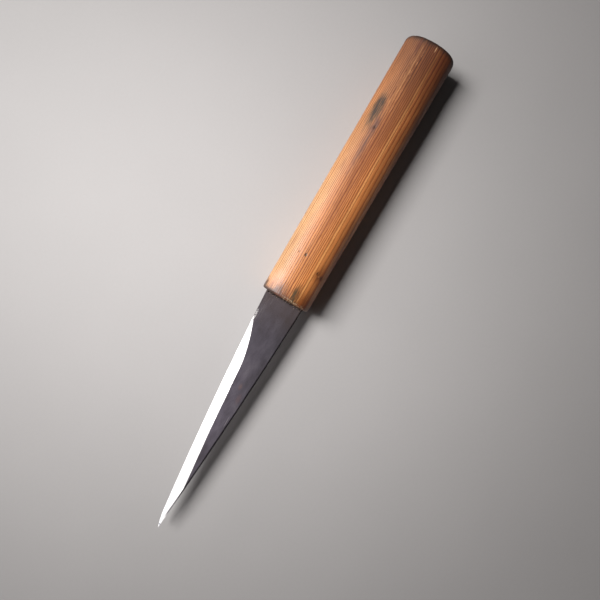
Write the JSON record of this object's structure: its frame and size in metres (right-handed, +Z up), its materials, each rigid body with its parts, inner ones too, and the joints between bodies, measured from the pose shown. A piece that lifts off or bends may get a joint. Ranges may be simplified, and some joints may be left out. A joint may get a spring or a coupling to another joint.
{
  "type": "carving knife",
  "caption": "Slender pointed single-bevel carving knife: black forged blade with a flat steel-faced back, set in a plain oval wooden handle.",
  "frame": {"origin": "on the ground, under the middle of the knife's length and width, as it lies on its handle", "axes": "+X along the knife from the butt to the tip, +Y towards the spine, +Z up out of the bevelled face of the blade"},
  "size_m": [0.2514, 0.025, 0.0181],
  "materials": {
    "forged_iron": "black forge scale, satin ground bevel",
    "edge_steel": "fine satin from the sharpening stone",
    "glue": "dark matt cured glue",
    "softwood": "oiled straight-grained softwood, worn smooth"
  },
  "bodies": {
    "root": {"blade_iron": "forged_iron", "blade_steel_layer": "edge_steel", "tang_glue": "glue", "handle_top_half": "softwood", "handle_bottom_half": "softwood"}
  },
  "joints": []
}
